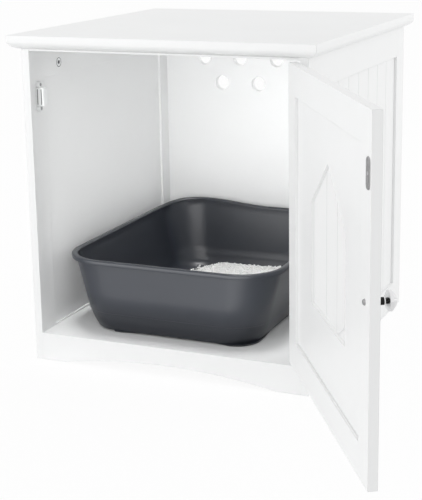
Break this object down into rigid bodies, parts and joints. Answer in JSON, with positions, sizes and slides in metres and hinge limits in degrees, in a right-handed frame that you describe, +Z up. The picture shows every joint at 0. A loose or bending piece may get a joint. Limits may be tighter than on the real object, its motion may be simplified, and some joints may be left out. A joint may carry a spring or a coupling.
{
  "type": "litter box enclosure",
  "caption": "Cabinet that hides a litter tray, with beaded frame-and-panel sides, a vented back, an arched apron and a side-hung door with a house-shaped pet entrance.",
  "frame": {"origin": "on the floor, at the middle of the back panel's bottom edge", "axes": "+X to the right as the front is faced, +Y from the front to the back, +Z up"},
  "size_m": [0.6928, 0.859, 0.51],
  "materials": {
    "white_paint": "smooth satin white paint on board",
    "zinc_steel": "zinc plated",
    "dark_steel": "dark plated, satin",
    "knob_chrome": "polished",
    "catch_plastic": "moulded white",
    "magnet_ferrite": "sintered, matte",
    "tray_plastic": "fine satin texture, dark slate grey",
    "litter_granules": "loose white granules",
    "beech": "fluted beech"
  },
  "bodies": {
    "cabinet": {"top_board": "white_paint", "door_head_strip": "white_paint", "left_front_stile": "white_paint", "left_rear_stile": "white_paint", "left_top_rail": "white_paint", "left_bottom_rail": "white_paint", "left_side_panel": "white_paint", "right_front_stile": "white_paint", "right_rear_stile": "white_paint", "right_top_rail": "white_paint", "right_bottom_rail": "white_paint", "right_side_panel": "white_paint", "back_panel": "white_paint", "floor_board": "white_paint", "front_apron": "white_paint", "cam_locks": "dark_steel", "cam_bolts": "zinc_steel", "wooden_dowels": "beech", "back_panel_screws": "dark_steel", "upper_hinge_frame_leaf": "zinc_steel", "upper_hinge_pin": "zinc_steel", "lower_hinge_frame_leaf": "zinc_steel", "lower_hinge_pin": "zinc_steel", "hinge_frame_screws": "zinc_steel", "catch_housing": "catch_plastic", "catch_pole_plates": "dark_steel", "catch_magnet": "magnet_ferrite", "catch_screws": "dark_steel"},
    "door": {"door_hinge_stile": "white_paint", "door_latch_stile": "white_paint", "door_top_rail": "white_paint", "door_bottom_rail": "white_paint", "door_panel": "white_paint", "upper_hinge_door_leaf": "zinc_steel", "lower_hinge_door_leaf": "zinc_steel", "hinge_door_screws": "zinc_steel", "strike_plate": "dark_steel", "strike_screw": "zinc_steel", "knob": "knob_chrome", "knob_screw": "dark_steel"},
    "tray": {"litter_tray": "tray_plastic", "litter": "litter_granules"}
  },
  "joints": [
    {"name": "door_hinge", "type": "hinge", "parent": "cabinet", "child": "door", "pos_m": [0.21405, -0.4836, 0.269], "axis": [0, 0, 1], "range_deg": [-122, 58]},
    {"name": "tray_slide", "type": "slide", "parent": "cabinet", "child": "tray", "axis": [0, -1, 0], "range_m": [-0.021, 0.007]}
  ]
}
